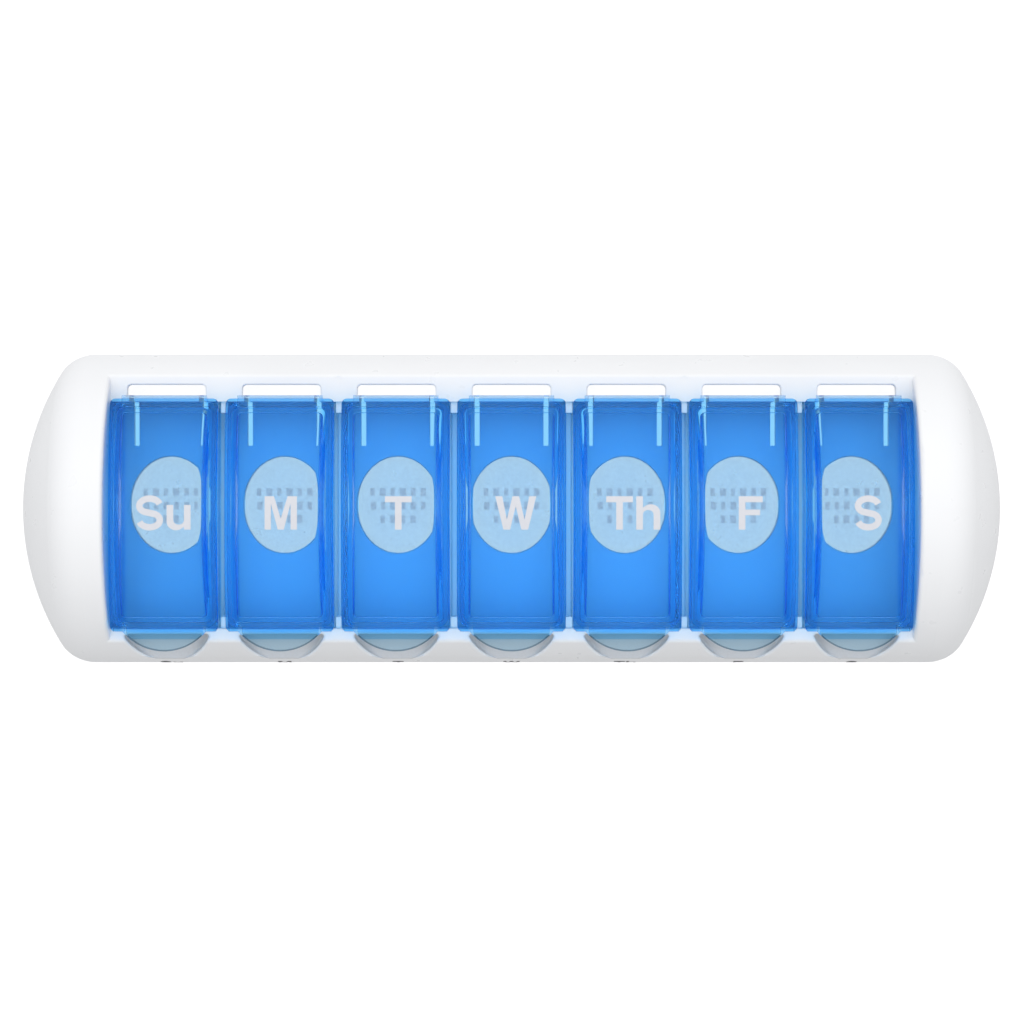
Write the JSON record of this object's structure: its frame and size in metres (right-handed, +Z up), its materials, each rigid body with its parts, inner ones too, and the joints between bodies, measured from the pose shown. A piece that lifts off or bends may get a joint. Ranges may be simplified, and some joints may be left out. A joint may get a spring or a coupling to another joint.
{
  "type": "travel pill organizer",
  "caption": "Loaf-shaped white tray with a row of translucent boxes; each box has a domed hinged lid and lifts out when pushed from below.",
  "frame": {"origin": "bottom centre of the tray, on the surface it stands on", "axes": "+X along the row from the Sunday end to the Saturday end, +Y towards the lid hinges, +Z up"},
  "size_m": [0.2158, 0.068, 0.028],
  "materials": {
    "white_tray": "satin moulded polypropylene",
    "blue_box": "translucent, polished",
    "blue_lid": "translucent, polished",
    "blue_hinge": "translucent, thin"
  },
  "bodies": {
    "tray": {"tray": "white_tray"},
    "sunday_box": {"box_sunday": "blue_box", "hinge_sunday": "blue_hinge"},
    "sunday_lid": {"lid_sunday": "blue_lid"},
    "monday_box": {"box_monday": "blue_box", "hinge_monday": "blue_hinge"},
    "monday_lid": {"lid_monday": "blue_lid"},
    "tuesday_box": {"box_tuesday": "blue_box", "hinge_tuesday": "blue_hinge"},
    "tuesday_lid": {"lid_tuesday": "blue_lid"},
    "wednesday_box": {"box_wednesday": "blue_box", "hinge_wednesday": "blue_hinge"},
    "wednesday_lid": {"lid_wednesday": "blue_lid"},
    "thursday_box": {"box_thursday": "blue_box", "hinge_thursday": "blue_hinge"},
    "thursday_lid": {"lid_thursday": "blue_lid"},
    "friday_box": {"box_friday": "blue_box", "hinge_friday": "blue_hinge"},
    "friday_lid": {"lid_friday": "blue_lid"},
    "saturday_box": {"box_saturday": "blue_box", "hinge_saturday": "blue_hinge"},
    "saturday_lid": {"lid_saturday": "blue_lid"}
  },
  "joints": [
    {"name": "sunday_lift_out", "type": "slide", "parent": "tray", "child": "sunday_box", "axis": [0, 0, 1], "range_m": [0, 0.03]},
    {"name": "sunday_lid_hinge", "type": "hinge", "parent": "sunday_box", "child": "sunday_lid", "pos_m": [-0.075, 0.0237, 0.01695], "axis": [-1, 0, 0], "range_deg": [0, 120], "deforming": ["hinge_sunday"]},
    {"name": "monday_lift_out", "type": "slide", "parent": "tray", "child": "monday_box", "axis": [0, 0, 1], "range_m": [0, 0.03]},
    {"name": "monday_lid_hinge", "type": "hinge", "parent": "monday_box", "child": "monday_lid", "pos_m": [-0.05, 0.0237, 0.01695], "axis": [-1, 0, 0], "range_deg": [0, 120], "deforming": ["hinge_monday"]},
    {"name": "tuesday_lift_out", "type": "slide", "parent": "tray", "child": "tuesday_box", "axis": [0, 0, 1], "range_m": [0, 0.03]},
    {"name": "tuesday_lid_hinge", "type": "hinge", "parent": "tuesday_box", "child": "tuesday_lid", "pos_m": [-0.025, 0.0237, 0.01695], "axis": [-1, 0, 0], "range_deg": [0, 120], "deforming": ["hinge_tuesday"]},
    {"name": "wednesday_lift_out", "type": "slide", "parent": "tray", "child": "wednesday_box", "axis": [0, 0, 1], "range_m": [0, 0.03]},
    {"name": "wednesday_lid_hinge", "type": "hinge", "parent": "wednesday_box", "child": "wednesday_lid", "pos_m": [0, 0.0237, 0.01695], "axis": [-1, 0, 0], "range_deg": [0, 120], "deforming": ["hinge_wednesday"]},
    {"name": "thursday_lift_out", "type": "slide", "parent": "tray", "child": "thursday_box", "axis": [0, 0, 1], "range_m": [0, 0.03]},
    {"name": "thursday_lid_hinge", "type": "hinge", "parent": "thursday_box", "child": "thursday_lid", "pos_m": [0.025, 0.0237, 0.01695], "axis": [-1, 0, 0], "range_deg": [0, 120], "deforming": ["hinge_thursday"]},
    {"name": "friday_lift_out", "type": "slide", "parent": "tray", "child": "friday_box", "axis": [0, 0, 1], "range_m": [0, 0.03]},
    {"name": "friday_lid_hinge", "type": "hinge", "parent": "friday_box", "child": "friday_lid", "pos_m": [0.05, 0.0237, 0.01695], "axis": [-1, 0, 0], "range_deg": [0, 120], "deforming": ["hinge_friday"]},
    {"name": "saturday_lift_out", "type": "slide", "parent": "tray", "child": "saturday_box", "axis": [0, 0, 1], "range_m": [0, 0.03]},
    {"name": "saturday_lid_hinge", "type": "hinge", "parent": "saturday_box", "child": "saturday_lid", "pos_m": [0.075, 0.0237, 0.01695], "axis": [-1, 0, 0], "range_deg": [0, 120], "deforming": ["hinge_saturday"]}
  ]
}
